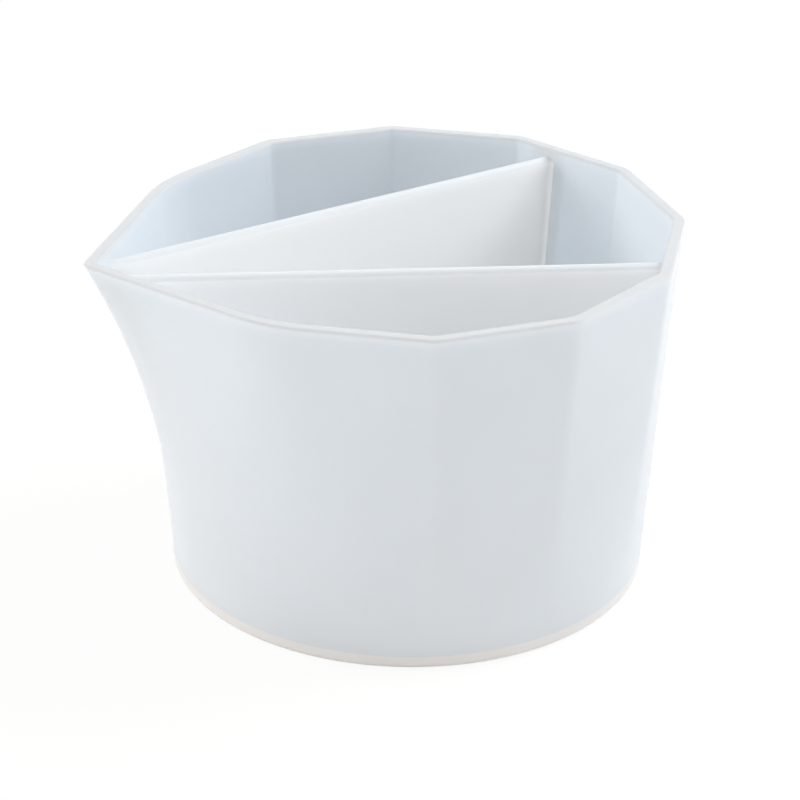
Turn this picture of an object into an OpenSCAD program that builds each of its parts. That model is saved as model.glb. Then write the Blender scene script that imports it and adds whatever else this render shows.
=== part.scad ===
// Split pouring cup for mixing resin, moulded in one piece from translucent silicone.
// A round floor carries a wall that grows into a twelve-sided rim with a pointed pouring spout,
// and two dividers fan out from the spout to part the inside into three chambers.
// The origin is the centre of the underside, +Z is up and the spout points along -X.

/* [Rim] */
// Distance from the cup's axis to a corner of the rim
rim_reach = 50; // [42:0.5:70]
// Height of the rim above the surface that the cup stands on
cup_height = 66.6; // [45:0.1:100]
// Radius that rounds each corner of the rim, seen from above
rim_corner_r = 5; // [3:0.25:8]
// Radius that rounds the inner and the outer edge of the rim's flat top
lip_r = 0.5; // [0.2:0.05:0.7]

/* [Wall] */
// Thickness of the wall, measured level
wall_t = 2.25; // [1.6:0.05:4]
// Radius of the hollow corner where the wall runs into the floor
floor_corner_r = 2.5; // [1:0.25:5]

/* [Spout] */
// Distance from the cup's axis to the tip of the spout
spout_reach = 60.4; // [56:0.1:85]
// Angle between each edge of the spout and the spout's centre line
spout_half_angle = 56; // [50:0.5:60]
// Radius that rounds the tip of the spout, seen from above
spout_tip_r = 2.4; // [1:0.1:5]
// Radius that rounds the shoulders where the spout leaves the side of the cup
shoulder_r = 29; // [10:0.5:32]
// How fast the spout's flare dies away downwards, where 1 is a straight slope
spout_fade = 2.4; // [1.4:0.1:4]

/* [Floor] */
// Outer radius of the round floor
base_r = 44.5; // [36:0.25:48]
// Thickness of the floor
floor_t = 2.6; // [1.6:0.1:5]
// Radius that rounds the lower edge of the floor
base_edge_r = 1.2; // [0.4:0.1:1.4]

/* [Dividers] */
// Thickness of a divider at its top, which is fully rounded
divider_t = 2; // [1.2:0.1:4]
// Thickness of a divider at its foot, just above the fillet
divider_foot_t = 2.6; // [1.4:0.1:5]
// How far the dividers stop below the rim
divider_drop = 1.6; // [1:0.1:20]
// Angle between each divider and the spout's centre line
divider_angle = 14.3; // [10:0.1:20]
// Distance from the cup's axis to the point outside the spout where the dividers would meet
fan_reach = 68.1; // [64:0.1:90]
// Radius of the fillets between a divider's foot and the floor
divider_fillet_r = 1.5; // [0.5:0.1:3]

/* [Hidden] */

// The rim is a regular polygon whose corners near the spout are left out
rim_sides = 12;
corner_step = 360 / rim_sides;
last_corner = 105;
last_side = last_corner + corner_step / 2;

// The spout's edges meet at this point when its tip isn't rounded
apex_reach = spout_reach + spout_tip_r * (1 / sin(spout_half_angle) - 1);

// Silicone can't be moulded into a sharper hollow corner than this
least_r = 0.4;

// Steps along each stretch of the outline
corner_steps = 4;
shoulder_steps = 6;
tip_steps = 6;
side_steps = 4;
long_side_steps = 6;

// Steps up the wall and round its edges
rise_steps = 12;
lip_steps = 3;
hollow_steps = 4;
fillet_steps = 6;
divider_top_steps = 6;

// The divider's blank runs past the cup on every side and is trimmed to the inside
trim = 1;
divider_length = fan_reach + rim_reach;
divider_top = cup_height - divider_drop;

silicone = [0.93, 0.95, 0.97];
floor_silicone = [0.95, 0.94, 0.92];
divider_silicone = [0.90, 0.93, 0.97];

function unit(v) = v / norm(v);
function heading(v) = atan2(v[1], v[0]);
function from_polar(r, a) = [r * cos(a), r * sin(a)];
function flatten(lists) = [for (list = lists) each list];

// The rim's corner points, for an outline that lies the given distance inside the outer one
function side_distance(inset) = rim_reach * cos(corner_step / 2) - inset;
function apex(inset) = [-(apex_reach - inset / sin(spout_half_angle)), 0];
function shoulder(inset) =
    let (
        tip = apex(inset),
        along = from_polar(1, spout_half_angle),
        square_to_side = from_polar(1, last_side)
    )
    tip + along * (side_distance(inset) - tip * square_to_side) / (along * square_to_side);
function mirror_y(p) = [p[0], -p[1]];
function corners(inset) = concat(
    [
        for (a = [-last_corner : corner_step : last_corner])
            from_polar(side_distance(inset) / cos(corner_step / 2), a)
    ],
    [shoulder(inset), apex(inset), mirror_y(shoulder(inset))]
);

// For each of those corners: its radius, its steps, and the steps of the side that follows it
function regular_corners() = 1 + 2 * last_corner / corner_step;
function corner_radii(inset) = concat(
    [for (k = [1 : regular_corners()]) max(rim_corner_r - inset, least_r)],
    [shoulder_r - inset, max(spout_tip_r - inset, least_r), shoulder_r - inset]
);
function arc_steps() = concat(
    [for (k = [1 : regular_corners()]) corner_steps],
    [shoulder_steps, tip_steps, shoulder_steps]
);
function straight_steps() = concat(
    [for (k = [1 : regular_corners()]) side_steps],
    [long_side_steps, long_side_steps, side_steps]
);

// Points of the arc that rounds one corner, running counter-clockwise
function rounded(before, corner, after, r, steps) =
    let (
        back = unit(before - corner),
        ahead = unit(after - corner),
        half = acos(back * ahead) / 2,
        centre = corner + unit(back + ahead) * r / sin(half),
        start = heading(corner + back * r / tan(half) - centre),
        turn = 180 - 2 * half
    )
    [for (k = [0 : steps]) centre + from_polar(r, start + turn * k / steps)];

// The rim's outline as a closed list of points, with its straight sides divided
function outline(inset) =
    let (
        c = corners(inset),
        n = len(c),
        radii = corner_radii(inset),
        arcs = [
            for (i = [0 : n - 1])
                rounded(c[(i + n - 1) % n], c[i], c[(i + 1) % n], radii[i], arc_steps()[i])
        ]
    )
    flatten([
        for (i = [0 : n - 1])
            let (
                from = arcs[i][len(arcs[i]) - 1],
                to = arcs[(i + 1) % n][0],
                steps = straight_steps()[i]
            )
            concat(arcs[i], [for (k = [1 : steps - 1]) from + (to - from) * k / steps])
    ]);

// One level ring of the wall. Low down it is a circle, and it grows into the rim's outline:
// the sides in a straight line, and what the spout adds to them in a curve.
function ring(z, inset) =
    let (
        rise = (z - floor_t) / (cup_height - floor_t),
        foot = base_r - inset
    )
    [
        for (p = outline(inset))
            let (
                a = heading(p),
                side = abs(a) < last_side ? norm(p) : side_distance(inset),
                r = foot + (side - foot) * rise + (norm(p) - side) * pow(max(rise, 0), spout_fade)
            )
            [r * cos(a), r * sin(a), z]
    ];

// The wall's rings in order: up the outside, over the lip, down the inside and out along the foot
lip_z = cup_height - lip_r;
hollow_z = floor_t + floor_corner_r;
function outer_rings() = [
    for (k = [0 : rise_steps - 1]) ring(floor_t + (lip_z - floor_t) * k / rise_steps, 0)
];
function lip_ring(a, edge, way) =
    ring(lip_z + lip_r * sin(a), edge + way * lip_r * (1 - cos(a)));
function outer_lip() = [for (k = [0 : lip_steps]) lip_ring(90 * k / lip_steps, 0, 1)];
function inner_lip() = [for (k = [lip_steps : -1 : 1]) lip_ring(90 * k / lip_steps, wall_t, -1)];
function inner_rings() = [
    for (k = [0 : rise_steps - 1]) ring(lip_z + (hollow_z - lip_z) * k / rise_steps, wall_t)
];
function hollow_rings() = [
    for (k = [0 : hollow_steps])
        let (a = 90 * k / hollow_steps)
        ring(hollow_z - floor_corner_r * sin(a), wall_t + floor_corner_r * (1 - cos(a)))
];

// Triangles between ring j and the next of n points each. Both solids that share a surface
// cut its quads along the same diagonal, so they meet face to face.
function band(j, next, n, inside_out) = flatten([
    for (i = [0 : n - 1])
        let (
            a = j * n + i,
            b = j * n + (i + 1) % n,
            c = next * n + (i + 1) % n,
            d = next * n + i
        )
        inside_out ? [[a, b, c], [a, c, d]] : [[a, c, b], [a, d, c]]
]);

// The side wall with its rim and its spout
module cup_wall() {
    rings = concat(outer_rings(), outer_lip(), inner_lip(), inner_rings(), hollow_rings());
    m = len(rings);
    n = len(rings[0]);
    color(silicone)
        polyhedron(
            points = flatten(rings),
            faces = flatten([for (j = [0 : m - 1]) band(j, (j + 1) % m, n, false)]),
            convexity = 6
        );
}

// The space inside the wall, from the floor up to the lip, which trims the dividers
module inside() {
    rings = concat(inner_rings(), hollow_rings());
    m = len(rings);
    n = len(rings[0]);
    polyhedron(
        points = flatten(rings),
        faces = concat(
            [[for (i = [n - 1 : -1 : 0]) i]],
            flatten([for (j = [0 : m - 2]) band(j, j + 1, n, true)]),
            [[for (i = [0 : n - 1]) (m - 1) * n + i]]
        ),
        convexity = 4
    );
}

// The round slab that the wall and the dividers stand on, with its lower edge rounded
module cup_floor() {
    color(floor_silicone)
        rotate_extrude($fn = 96) {
            square([base_r - base_edge_r, floor_t]);
            translate([0, base_edge_r])
                square([base_r, floor_t - base_edge_r]);
            intersection() {
                translate([base_r - base_edge_r, base_edge_r])
                    circle(r = base_edge_r, $fn = 48);
                square([base_r, floor_t]);
            }
        }
}

// Half of the divider's section from the foot up: x is across the divider and y is the height
function divider_half() =
    let (
        foot = divider_foot_t / 2,
        top = divider_t / 2,
        f = divider_fillet_r
    )
    concat(
        [[foot + f, floor_t - trim]],
        [
            for (k = [0 : fillet_steps])
                let (a = 90 * k / fillet_steps)
                [foot + f * (1 - sin(a)), floor_t + f * (1 - cos(a))]
        ],
        [
            for (k = [0 : divider_top_steps])
                let (a = 90 * k / divider_top_steps)
                [top * cos(a), divider_top - top * (1 - sin(a))]
        ]
    );

// A divider turned by the given angle about the point where the two would meet
module divider(angle) {
    half = divider_half();
    last = len(half) - 1;
    color(divider_silicone)
        intersection() {
            inside();
            translate([-fan_reach, 0, 0])
                rotate([0, 0, angle])
                    rotate([90, 0, 90])
                        linear_extrude(height = divider_length)
                            polygon(concat(half, [for (k = [last - 1 : -1 : 0]) [-half[k][0], half[k][1]]]));
        }
}

module rear_divider() {
    divider(divider_angle);
}

module front_divider() {
    divider(-divider_angle);
}

cup_wall();
cup_floor();
rear_divider();
front_divider();
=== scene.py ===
# The looks of a split pouring cup, moulded in translucent white silicone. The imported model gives
# its place and its main sizes. Four pieces with fine rounded edges stand for its four solids.
# Lengths are in metres, angles in radians. +Z is up and the spout points along -X.

import math

import bpy
import numpy as np
from mathutils import Matrix, Vector


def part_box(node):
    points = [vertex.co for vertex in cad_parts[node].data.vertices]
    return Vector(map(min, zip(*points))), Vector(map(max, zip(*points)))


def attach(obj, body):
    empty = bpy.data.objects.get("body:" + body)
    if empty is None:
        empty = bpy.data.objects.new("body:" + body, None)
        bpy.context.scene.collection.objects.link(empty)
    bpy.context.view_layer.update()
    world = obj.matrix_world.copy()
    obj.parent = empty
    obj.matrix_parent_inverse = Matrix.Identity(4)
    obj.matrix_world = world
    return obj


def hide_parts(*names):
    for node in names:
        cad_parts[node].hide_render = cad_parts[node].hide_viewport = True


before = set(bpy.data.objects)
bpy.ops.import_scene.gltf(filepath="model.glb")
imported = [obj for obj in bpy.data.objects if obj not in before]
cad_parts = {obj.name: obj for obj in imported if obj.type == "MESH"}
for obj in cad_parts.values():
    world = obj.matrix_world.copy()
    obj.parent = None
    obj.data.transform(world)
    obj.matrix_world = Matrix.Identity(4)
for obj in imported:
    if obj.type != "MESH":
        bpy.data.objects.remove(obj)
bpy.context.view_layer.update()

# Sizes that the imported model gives
CUP_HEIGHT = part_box("cup_wall")[1].z
FLOOR_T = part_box("cup_floor")[1].z
BASE_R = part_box("cup_floor")[1].x
DIVIDER_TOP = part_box("rear_divider")[1].z

# Sizes of the rim, the wall and the spout that the wall's box doesn't give. The rim is a regular
# polygon whose corners past LAST_CORNER are left out for the spout.
RIM_REACH = 0.05
RIM_SIDES = 12
CORNER_STEP = math.radians(360 / RIM_SIDES)
LAST_CORNER = math.radians(105)
LAST_SIDE = LAST_CORNER + CORNER_STEP / 2
RIM_APOTHEM = RIM_REACH * math.cos(CORNER_STEP / 2)
SPOUT_REACH = 0.0604
RIM_CORNER_R = 0.005
LIP_R = 0.0005
WALL_T = 0.00225
FLOOR_CORNER_R = 0.0025
SPOUT_HALF_ANGLE = math.radians(56)
SPOUT_TIP_R = 0.0024
SHOULDER_R = 0.029
SPOUT_FADE = 2.4
BASE_EDGE_R = 0.0012
# Silicone can't be moulded into a sharper hollow corner than this
LEAST_R = 0.0004

# Sizes of the dividers that their boxes don't give
DIVIDER_T = 0.002
DIVIDER_FOOT_T = 0.0026
DIVIDER_ANGLE = math.radians(14.3)
FAN_REACH = 0.0681
DIVIDER_FILLET_R = 0.0015

# A divider widens into the far wall on this radius
FLARE_R = 0.0007
# A divider's ends reach this far into the wall, so that no gap shows between them
SEAT = 0.0003

# Steps along each stretch of the meshes
CORNER_STEPS = 8
SHOULDER_STEPS = 20
TIP_STEPS = 14
SIDE_STEPS = 28
RISE_STEPS = 40
LIP_STEPS = 8
LIP_FLAT_STEPS = 4
HOLLOW_STEPS = 10
FLOOR_STEPS = 192
FLOOR_RINGS = 24
DIVIDER_SIDE_STEPS = 36
DIVIDER_TOP_STEPS = 10
DIVIDER_LENGTH_STEPS = 120
FLARE_STEPS = 8

# Edges that turn more than this stay sharp, which are those where a piece ends inside another
SHARP_ANGLE = math.radians(50)

# Where two members meet, and along the tops, light travels less far under the skin. The change
# takes SEAM_W beside a seam and RIM_BLUR below the rim, down to the share LEAST_SPREAD.
SEAM_W = 0.0025
# RIM_BLUR is also the band below the rim over which the painted shade of the tops sets in
RIM_BLUR = 0.0008
LEAST_SPREAD = 0.03
# How far along a divider its tone takes to change into the painted light strip at its far end
STRIP_BLUR = 0.0004
# How much of the tops' painted shade a divider's round top takes
CREST_PAINTED_SHADE_SHARE = 0.8


def eased(steps):
    """Shares from 0 to 1 that lie close together at both ends."""
    return (1 - np.cos(np.linspace(0, math.pi, steps + 1))) / 2


def quarter_turns(steps):
    """Even steps from 0 to a right angle."""
    return np.linspace(0, math.pi / 2, steps + 1)


def heading(angle):
    """The level direction at that angle from +X."""
    return np.array([math.cos(angle), math.sin(angle)])


def corner_points(inset):
    """The rim's corners before rounding, for an outline that lies inset inside the outer one."""
    apothem = RIM_APOTHEM - inset
    regular = [
        heading(a) * apothem / math.cos(CORNER_STEP / 2)
        for a in np.arange(-LAST_CORNER, LAST_CORNER + CORNER_STEP / 2, CORNER_STEP)
    ]
    tip_reach = SPOUT_REACH + SPOUT_TIP_R * (1 / math.sin(SPOUT_HALF_ANGLE) - 1)
    apex = np.array([-(tip_reach - inset / math.sin(SPOUT_HALF_ANGLE)), 0.0])
    along, square = heading(SPOUT_HALF_ANGLE), heading(LAST_SIDE)
    shoulder = apex + along * (apothem - apex @ square) / (along @ square)
    return regular + [shoulder, apex, shoulder * (1, -1)]


def rounded(before, corner, after, radius, steps):
    """Points of the arc that rounds one corner, running counter-clockwise."""
    back = (before - corner) / np.linalg.norm(before - corner)
    ahead = (after - corner) / np.linalg.norm(after - corner)
    half = math.acos(float(back @ ahead)) / 2
    middle = (back + ahead) / np.linalg.norm(back + ahead)
    centre = corner + middle * radius / math.sin(half)
    spoke = corner + back * radius / math.tan(half) - centre
    start = math.atan2(spoke[1], spoke[0])
    turn = math.pi - 2 * half
    return [centre + radius * heading(start + turn * k / steps) for k in range(steps + 1)]


def outline(inset):
    """The rim's closed outline, with the points close together where a side runs into a corner."""
    corners = corner_points(inset)
    count = len(corners)
    regular = count - 3
    radii = [max(RIM_CORNER_R - inset, LEAST_R)] * regular
    radii += [SHOULDER_R - inset, max(SPOUT_TIP_R - inset, LEAST_R), SHOULDER_R - inset]
    steps = [CORNER_STEPS] * regular + [SHOULDER_STEPS, TIP_STEPS, SHOULDER_STEPS]
    arcs = [
        rounded(corners[i - 1], corners[i], corners[(i + 1) % count], radii[i], steps[i])
        for i in range(count)
    ]
    points = []
    for i in range(count):
        start, end = arcs[i][-1], arcs[(i + 1) % count][0]
        points += arcs[i]
        points += [start + (end - start) * share for share in eased(SIDE_STEPS)[1:-1]]
    return np.array(points)


def ring(z, inset):
    """One level ring of the wall: a circle low down that grows into the rim's outline."""
    points = outline(inset)
    reach = np.linalg.norm(points, axis=1)
    angle = np.arctan2(points[:, 1], points[:, 0])
    rise = (z - FLOOR_T) / (CUP_HEIGHT - FLOOR_T)
    foot = BASE_R - inset
    side = np.where(np.abs(angle) < LAST_SIDE, reach, RIM_APOTHEM - inset)
    r = foot + (side - foot) * rise + (reach - side) * max(rise, 0) ** SPOUT_FADE
    return np.column_stack([r * np.cos(angle), r * np.sin(angle), np.full(len(r), z)])


def inner_ring(z):
    """The wall's inner surface at height z, down into the hollow corner above the floor."""
    hollow_z = FLOOR_T + FLOOR_CORNER_R
    if z >= hollow_z:
        return ring(z, WALL_T)
    turn = math.asin(min((hollow_z - z) / FLOOR_CORNER_R, 1))
    return ring(z, WALL_T + FLOOR_CORNER_R * (1 - math.cos(turn)))


def reach_along(start, direction, z):
    """Where a level line through start meets the inner surface at height z, both ways."""
    a = inner_ring(z)[:, :2]
    b = np.roll(a, -1, axis=0)
    normal = np.array([-direction[1], direction[0]])
    side_a, side_b = (a - start) @ normal, (b - start) @ normal
    crossed = (side_a > 0) != (side_b > 0)
    share = side_a[crossed] / (side_a[crossed] - side_b[crossed])
    hits = a[crossed] + (b[crossed] - a[crossed]) * share[:, None]
    distances = (hits - start) @ direction
    return distances.min(), distances.max()


def grid_faces(rows, columns, rows_close, columns_close):
    """The quads between rows of points. The last row or column may join the first."""
    return [
        (j * columns + i, j * columns + (i + 1) % columns,
         (j + 1) % rows * columns + (i + 1) % columns, (j + 1) % rows * columns + i)
        for j in range(rows if rows_close else rows - 1)
        for i in range(columns if columns_close else columns - 1)
    ]


def add_mesh(name, points, faces, material, second_tone_share, top, spread):
    """A smooth closed piece with three values at each point. second_tone_share blends its tone from
    the first of its material's two tones to the second, top blends it to the darker tone of the
    tops' painted shade, and spread is the share of SCATTER that light travels under the skin."""
    mesh = bpy.data.meshes.new(name)
    mesh.from_pydata([tuple(p) for p in points], [], faces)
    mesh.update()
    mesh.shade_smooth()
    mesh.set_sharp_from_angle(angle=SHARP_ANGLE)
    for label, values in (("second_tone_share", second_tone_share), ("top", top), ("spread", spread)):
        attribute = mesh.attributes.new(label, "FLOAT", "POINT")
        attribute.data.foreach_set("value", np.asarray(values, np.float32))
    mesh.materials.append(material)
    piece = bpy.data.objects.new(name, mesh)
    bpy.context.scene.collection.objects.link(piece)
    return piece


def smooth_step(value, low, high):
    """0 up to low and 1 from high on, with a soft change between."""
    share = np.clip((value - low) / (high - low), 0, 1)
    return share * share * (3 - 2 * share)


def spread_of(dense):
    """How far light travels under the skin, for points that are 1 at a seam or a top edge."""
    return 1 - (1 - LEAST_SPREAD) * np.asarray(dense)


def wall_profile():
    """Height and inset of each ring, up the outside, over the lip and down the inside."""
    lip_z = CUP_HEIGHT - LIP_R
    hollow_z = FLOOR_T + FLOOR_CORNER_R
    profile = [(FLOOR_T + (lip_z - FLOOR_T) * s, 0.0) for s in eased(RISE_STEPS)[:-1]]
    turns = quarter_turns(LIP_STEPS)
    profile += [(lip_z + LIP_R * math.sin(a), LIP_R * (1 - math.cos(a))) for a in turns]
    flat = np.linspace(LIP_R, WALL_T - LIP_R, LIP_FLAT_STEPS + 1)[1:-1]
    profile += [(CUP_HEIGHT, inset) for inset in flat]
    profile += [
        (lip_z + LIP_R * math.sin(a), WALL_T - LIP_R * (1 - math.cos(a))) for a in reversed(turns)
    ]
    profile += [(lip_z + (hollow_z - lip_z) * s, WALL_T) for s in eased(RISE_STEPS)[1:]]
    profile += [
        (hollow_z - FLOOR_CORNER_R * math.sin(a), WALL_T + FLOOR_CORNER_R * (1 - math.cos(a)))
        for a in quarter_turns(HOLLOW_STEPS)[1:]
    ]
    return profile


def make_wall(material):
    """The side wall with its rim and spout, as one closed skin of rings."""
    profile = wall_profile()
    rings = [ring(z, inset) for z, inset in profile]
    around = len(rings[0])
    faces = grid_faces(len(rings), around, True, True)
    points = np.vstack(rings)
    z = points[:, 2]
    at_rim = smooth_step(z, CUP_HEIGHT - RIM_BLUR, CUP_HEIGHT)
    at_foot = 1 - smooth_step(z, FLOOR_T, FLOOR_T + SEAM_W)
    # How far each point lies from the middle plane of the nearer divider
    beside = np.abs((points[:, 0] + FAN_REACH) * math.sin(DIVIDER_ANGLE)
                    - np.abs(points[:, 1]) * math.cos(DIVIDER_ANGLE))
    inside = np.repeat([inset >= WALL_T for height, inset in profile], around)
    at_divider = inside * (1 - smooth_step(beside, DIVIDER_T, DIVIDER_T + SEAM_W))
    dense = np.maximum(np.maximum(at_rim, at_foot), at_divider)
    # The top of the wall takes the darker tone of the tops, which is painted shade on the rim
    return add_mesh("cup_wall_skin", points, faces, material, 0 * at_rim, at_rim, spread_of(dense))


def make_floor(material):
    """The round floor slab with its lower edge rounded, as a revolved profile."""
    turns = quarter_turns(LIP_STEPS)
    flat_r = BASE_R - BASE_EDGE_R
    profile = [(flat_r * s, 0.0) for s in np.linspace(0, 1, FLOOR_RINGS)[1:-1]]
    profile += [
        (flat_r + BASE_EDGE_R * math.sin(a), BASE_EDGE_R * (1 - math.cos(a))) for a in turns
    ]
    profile += [(BASE_R, FLOOR_T)]
    profile += [(BASE_R * s, FLOOR_T) for s in np.linspace(1, 0, FLOOR_RINGS)[1:-1]]
    angles = np.linspace(0, 2 * math.pi, FLOOR_STEPS, endpoint=False)
    points = [(r * math.cos(a), r * math.sin(a), z) for r, z in profile for a in angles]
    faces = grid_faces(len(profile), FLOOR_STEPS, False, True)
    # Two fans of triangles close the middle, below and above
    last = (len(profile) - 1) * FLOOR_STEPS
    under, over = len(points), len(points) + 1
    points += [(0, 0, 0), (0, 0, FLOOR_T)]
    for i in range(FLOOR_STEPS):
        following = (i + 1) % FLOOR_STEPS
        faces.append((under, following, i))
        faces.append((over, last + i, last + following))
    reach = np.linalg.norm(points, axis=1)
    # 1 along the floor's outer edge, while inside the cup it keeps the pale first tone, which is
    # painted light
    second_tone_share = smooth_step(reach, BASE_R - WALL_T, BASE_R)
    spread = spread_of(np.ones(len(points)))
    return add_mesh("cup_floor_slab", points, faces, material, second_tone_share, 0 * second_tone_share, spread)


def divider_profile():
    """A divider's section, from one foot over the round top to the other. Each point has its
    offset, its height and how far it moves sideways where the divider widens by 1."""
    foot, top = DIVIDER_FOOT_T / 2, DIVIDER_T / 2
    round_z = DIVIDER_TOP - top
    side_z = FLOOR_T + DIVIDER_FILLET_R
    half = [
        (foot + DIVIDER_FILLET_R * (1 - math.sin(a)),
         FLOOR_T + DIVIDER_FILLET_R * (1 - math.cos(a)), 1.0)
        for a in quarter_turns(HOLLOW_STEPS)[:-1]
    ]
    half += [
        (foot + (top - foot) * s, side_z + (round_z - side_z) * s, 1.0)
        for s in eased(DIVIDER_SIDE_STEPS)[:-1]
    ]
    half += [
        (top * math.cos(a), round_z + top * math.sin(a), math.cos(a))
        for a in quarter_turns(DIVIDER_TOP_STEPS)
    ]
    return half + [(-v, z, -out) for v, z, out in reversed(half[:-1])]


def end_faces(rows, columns):
    """Strips that close a divider's two ends. Each joins points that face each other across the
    divider, and both ends lie inside the wall."""
    faces = []
    for j in range(rows // 2):
        k = rows - 1 - j
        strip = list(dict.fromkeys([j, j + 1, k - 1, k]))
        faces.append(tuple(p * columns for p in strip))
        faces.append(tuple(p * columns + columns - 1 for p in reversed(strip)))
    return faces


def make_divider(name, side, material):
    """One divider, from the spout's inner surface to the far wall. side is 1 for the rear divider
    and -1 for the front one."""
    along = heading(side * DIVIDER_ANGLE)
    across = np.array([-along[1], along[0]])
    fan_point = np.array([-FAN_REACH, 0.0])
    profile = divider_profile()
    shares = eased(DIVIDER_LENGTH_STEPS)
    points, second_tone_share, top, dense = [], [], [], []
    flare_turns = quarter_turns(FLARE_STEPS)
    for v, z, out in profile:
        start = fan_point + across * v
        near, far = reach_along(start, along, z)
        # The far wall is not square to the divider, so the widened end follows its slope
        beside = reach_along(start + across * FLARE_R, along, z)[1]
        slope = (beside - far) / FLARE_R
        widening = FLARE_R * (1 - np.cos(flare_turns))
        straight = near - SEAT + (far - FLARE_R - near + SEAT) * shares[:-1]
        flared = far + slope * out * widening - FLARE_R * (1 - np.sin(flare_turns))
        flared[-1] += SEAT
        distances = np.concatenate([straight, flared])
        widenings = np.concatenate([0 * straight, widening])
        points += [
            (*(start + across * out * wider + along * distance), z)
            for distance, wider in zip(distances, widenings)
        ]
        at_end = 1 - smooth_step(far - distances, FLARE_R, FLARE_R + STRIP_BLUR)
        # 0 up to where the round top begins, and CREST_PAINTED_SHADE_SHARE along its crest, the
        # share of the tops' painted shade that the crest takes
        at_top = CREST_PAINTED_SHADE_SHARE * max(1 - (DIVIDER_TOP - z) * 2 / DIVIDER_T, 0) ** 0.5
        to_seam = np.minimum(np.minimum(far - distances, distances - near), z - FLOOR_T)
        at_seam = 1 - smooth_step(to_seam, 0, SEAM_W)
        # Painted light: the strip at the far end takes the paler second tone
        second_tone_share += list(at_end)
        top += [at_top] * len(distances)
        dense += list(np.maximum(at_seam, np.maximum(at_end, at_top)))
    rows, columns = len(profile), len(shares) + FLARE_STEPS
    faces = grid_faces(rows, columns, True, False) + end_faces(rows, columns)
    return add_mesh(name, points, faces, material, second_tone_share, top, spread_of(dense))


# The tones of the silicone, as colours that light is multiplied by
# Painted light and shade: the wall and the dividers are one silicone, but the wall's tone is darker
# and bluer and the dividers' paler, for how light falls on the thin wall and on dividers lit from
# both sides
WALL_TONE = (0.70, 0.74, 0.774)
# Painted shade: the rim's top and the dividers' round tops take this darker tone, so that the light
# from above shows them no brighter than the walls
TOPS_PAINTED_SHADE_TONE = (0.58, 0.596, 0.61)
WEB_TONE = (0.95, 0.98, 1.0)
# Painted light: the pale strip where a divider meets the far wall, brighter than the divider and
# the wall beside it
END_STRIP_PAINTED_LIGHT_TONE = (0.98, 0.98, 0.98)
WARM_TONE = (0.78, 0.775, 0.77)

# How the silicone's tone and skin vary over it, and how far light travels under its skin
MOTTLE = 0.02
MOTTLE_SCALE = 45.0
LEAST_ROUGHNESS = 0.42
MOST_ROUGHNESS = 0.52
GRAIN_SCALE = 900.0
GRAIN_DEPTH = 0.00005
GRAIN_STRENGTH = 0.15
SILICONE_IOR = 1.41
SCATTER = 0.0025
# The values of a noise lie mostly between these two
NOISE_LOW = 0.3
NOISE_HIGH = 0.7


def new_tree(owner):
    """The empty node tree of a material or a world."""
    owner.use_nodes = True
    owner.node_tree.nodes.clear()
    return owner.node_tree


def put(tree, socket, value):
    """Links another node's output to the socket, or sets the socket to a plain value."""
    if isinstance(value, bpy.types.NodeSocket):
        tree.links.new(value, socket)
    else:
        socket.default_value = value


def node(tree, kind, **inputs):
    """Adds a shader node and sets or links its inputs by name."""
    made = tree.nodes.new(kind)
    for name, value in inputs.items():
        put(tree, made.inputs[name.replace("_", " ")], value)
    return made


def mesh_value(tree, label):
    """The mesh's own values under that label."""
    attribute = tree.nodes.new("ShaderNodeAttribute")
    attribute.attribute_name = label
    return attribute.outputs["Fac"]


def maths(tree, operation, first, second):
    """What one operation makes of two numbers, each plain or from another node."""
    made = tree.nodes.new("ShaderNodeMath")
    made.operation = operation
    put(tree, made.inputs[0], first)
    put(tree, made.inputs[1], second)
    return made.outputs["Value"]


def colour_mix(tree, blend_type, factor, first, second):
    """The colour that two colours make, each plain or from another node."""
    mix = tree.nodes.new("ShaderNodeMix")
    mix.data_type = "RGBA"
    mix.blend_type = blend_type
    put(tree, mix.inputs["Factor"], factor)
    put(tree, mix.inputs["A"], first)
    put(tree, mix.inputs["B"], second)
    return mix.outputs["Result"]


def stretched(tree, noise, low, high):
    """A noise whose values are stretched to run from low to high."""
    stretch = node(tree, "ShaderNodeMapRange", Value=noise, From_Min=NOISE_LOW,
                   From_Max=NOISE_HIGH, To_Min=low, To_Max=high)
    return stretch.outputs["Result"]


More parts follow.
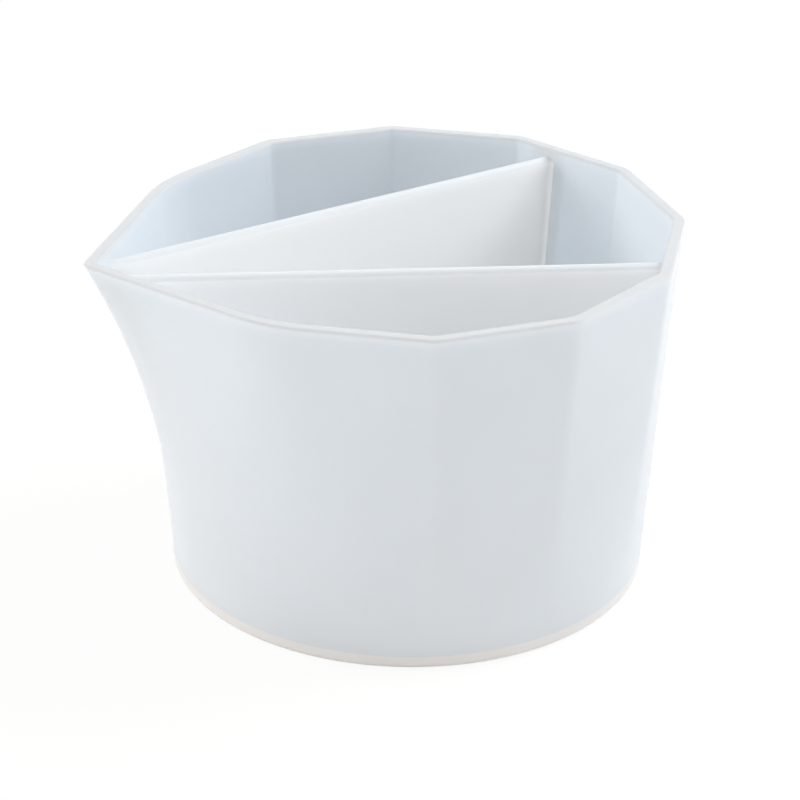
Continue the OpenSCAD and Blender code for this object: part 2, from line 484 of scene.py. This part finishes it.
def silicone(name, first, second):
    """Translucent silicone: milky, softly lit from inside, with a satin skin and faint mottling.
    The mesh's second_tone_share blends the first tone into the second, and its top value darkens
    the tone to the painted shade of the tops."""
    material = bpy.data.materials.new(name)
    tree = new_tree(material)
    place = tree.nodes.new("ShaderNodeTexCoord").outputs["Object"]
    cloud = node(tree, "ShaderNodeTexNoise", Vector=place, Scale=MOTTLE_SCALE, Detail=4.0,
                 Roughness=0.55).outputs["Fac"]
    grain = node(tree, "ShaderNodeTexNoise", Vector=place, Scale=GRAIN_SCALE, Detail=3.0,
                 Roughness=0.6).outputs["Fac"]
    # On a divider the second tone is the painted light strip at its far end
    tone = colour_mix(tree, "MIX", mesh_value(tree, "second_tone_share"), (*first, 1), (*second, 1))
    # Painted shade: where top is 1 the tone darkens to that of the tops
    tone = colour_mix(tree, "MIX", mesh_value(tree, "top"), tone, (*TOPS_PAINTED_SHADE_TONE, 1))
    tone = colour_mix(tree, "MULTIPLY", 1, tone, stretched(tree, cloud, 1 - MOTTLE, 1.0))
    bump = node(tree, "ShaderNodeBump", Strength=GRAIN_STRENGTH, Distance=GRAIN_DEPTH,
                Height=grain)
    shader = node(tree, "ShaderNodeBsdfPrincipled", Base_Color=tone,
                  Roughness=stretched(tree, grain, LEAST_ROUGHNESS, MOST_ROUGHNESS),
                  Normal=bump.outputs["Normal"], IOR=SILICONE_IOR, Subsurface_Weight=1.0,
                  Subsurface_Scale=maths(tree, "MULTIPLY", mesh_value(tree, "spread"), SCATTER),
                  Subsurface_Radius=(1.0, 1.0, 1.0))
    node(tree, "ShaderNodeOutputMaterial", Surface=shader.outputs["BSDF"])
    return material


def seen_directly(tree):
    """A factor that is 1 for camera, glossy and transmission rays, and 0 for light that bounces."""
    path = tree.nodes.new("ShaderNodeLightPath").outputs
    seen = maths(tree, "MAXIMUM", path["Is Camera Ray"], path["Is Glossy Ray"])
    return maths(tree, "MAXIMUM", seen, path["Is Transmission Ray"])


def shader_mix(tree, factor, first, second):
    """The shader that two shaders make, where factor is the share of the second."""
    mix = node(tree, "ShaderNodeMixShader", Fac=factor)
    tree.links.new(first, mix.inputs[1])
    tree.links.new(second, mix.inputs[2])
    return mix.outputs["Shader"]


# How bright the surround is and its tone, for light that bounces
WORLD_LIGHT = 0.57
WORLD_TONE = (1.0, 0.99, 0.985)


def make_world():
    """A white surround that lights the cup less than it shows, so pale surfaces keep their tone."""
    world = bpy.data.worlds.new("surround")
    tree = new_tree(world)
    shown = node(tree, "ShaderNodeBackground", Color=(1, 1, 1, 1), Strength=1.0)
    light = node(tree, "ShaderNodeBackground", Color=(*WORLD_TONE, 1), Strength=WORLD_LIGHT)
    both = shader_mix(tree, seen_directly(tree), light.outputs["Background"],
                      shown.outputs["Background"])
    node(tree, "ShaderNodeOutputWorld", Surface=both)
    bpy.context.scene.world = world


# The floor reaches this far each way, just under the cup. Seen directly, SHADOW_SHARE of it is
# matt and takes the cup's shadow, and the rest shines white. Light that bounces finds it all matt.
FLOOR_REACH = 3.0
FLOOR_DROP = 0.0001
SHADOW_SHARE = 0.12
MATT_TONE = (0.88, 0.85, 0.825)


def make_stage():
    """A plain white floor that shows the cup's shadow faintly."""
    material = bpy.data.materials.new("stage_white")
    tree = new_tree(material)
    matt = node(tree, "ShaderNodeBsdfDiffuse", Color=(*MATT_TONE, 1))
    glow = node(tree, "ShaderNodeEmission", Color=(1, 1, 1, 1), Strength=1.0)
    share = maths(tree, "MULTIPLY", seen_directly(tree), 1 - SHADOW_SHARE)
    both = shader_mix(tree, share, matt.outputs["BSDF"], glow.outputs["Emission"])
    node(tree, "ShaderNodeOutputMaterial", Surface=both)
    mesh = bpy.data.meshes.new("stage_floor")
    corners = [(x * FLOOR_REACH, y * FLOOR_REACH, -FLOOR_DROP)
               for x, y in ((-1, -1), (1, -1), (1, 1), (-1, 1))]
    mesh.from_pydata(corners, [], [(0, 1, 2, 3)])
    mesh.materials.append(material)
    floor = bpy.data.objects.new("stage_floor", mesh)
    bpy.context.scene.collection.objects.link(floor)


LAMP_SIZE = 0.7
COOL_LIGHT = (0.935, 0.97, 1.0)
PLAIN_LIGHT = (1.0, 1.0, 1.0)
WARM_LIGHT = (1.0, 0.968, 0.94)


def add_lamp(name, place, power, tone):
    """A square soft lamp that faces the middle of the cup. power is in watts."""
    data = bpy.data.lights.new(name, "AREA")
    data.shape = "SQUARE"
    data.size = LAMP_SIZE
    data.energy = power
    data.color = tone
    lamp = bpy.data.objects.new(name, data)
    lamp.location = place
    towards = Vector((0, 0, CUP_HEIGHT / 2)) - Vector(place)
    lamp.rotation_mode = "QUATERNION"
    lamp.rotation_quaternion = towards.to_track_quat("-Z", "Y")
    bpy.context.scene.collection.objects.link(lamp)


# The camera, fitted to the outline of the cup in the photograph
LENS_MM = 119.2
SENSOR_MM = 36.0
VIEW_TURN = math.radians(-19.6)
VIEW_DOWN = math.radians(26.52)
VIEW_ROLL = math.radians(0.73)
# Where the camera stands from the cup's origin, along its own right, up and back
CAMERA_OFFSET = (-0.0013, 0.0277, 0.5071)
NEAREST_SEEN = 0.05
FARTHEST_SEEN = 20


def make_camera():
    """The camera of the photograph's view."""
    data = bpy.data.cameras.new("photo_view")
    data.lens = LENS_MM
    data.sensor_width = SENSOR_MM
    data.clip_start = NEAREST_SEEN
    data.clip_end = FARTHEST_SEEN
    camera = bpy.data.objects.new("photo_view", data)
    turn = (
        Matrix.Rotation(VIEW_TURN, 4, "Z")
        @ Matrix.Rotation(math.pi / 2 - VIEW_DOWN, 4, "X")
        @ Matrix.Rotation(VIEW_ROLL, 4, "Z")
    )
    camera.matrix_world = turn @ Matrix.Translation(CAMERA_OFFSET)
    bpy.context.scene.collection.objects.link(camera)
    bpy.context.scene.camera = camera


def dress(piece, solid):
    """Hides the plain solid and lets the finished piece stand for it."""
    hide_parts(solid)
    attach(piece, "root")


# The wall has one tone. A divider's changes into a painted light strip at its far end, and the
# floor's along its edge.
wall_silicone = silicone("wall_silicone", WALL_TONE, WALL_TONE)
divider_silicone = silicone("divider_silicone", WEB_TONE, END_STRIP_PAINTED_LIGHT_TONE)
# Painted light: inside the cup the floor takes the dividers' pale tone, lifting it where the walls
# shade it, and along its outer edge it takes WARM_TONE
floor_silicone = silicone("floor_silicone", WEB_TONE, WARM_TONE)

dress(make_wall(wall_silicone), "cup_wall")
dress(make_floor(floor_silicone), "cup_floor")
dress(make_divider("rear_divider_web", 1, divider_silicone), "rear_divider")
dress(make_divider("front_divider_web", -1, divider_silicone), "front_divider")

make_world()
make_stage()
add_lamp("right_box", (0.92, 0, 0.95), 12.6, COOL_LIGHT)
add_lamp("rear_box", (-1.02, 0.59, 0.58), 7.4, PLAIN_LIGHT)
add_lamp("front_box", (-0.65, -0.65, 0.95), 3.9, WARM_LIGHT)
make_camera()

# The colours come out as they are, with no film curve
bpy.context.scene.view_settings.view_transform = "Standard"
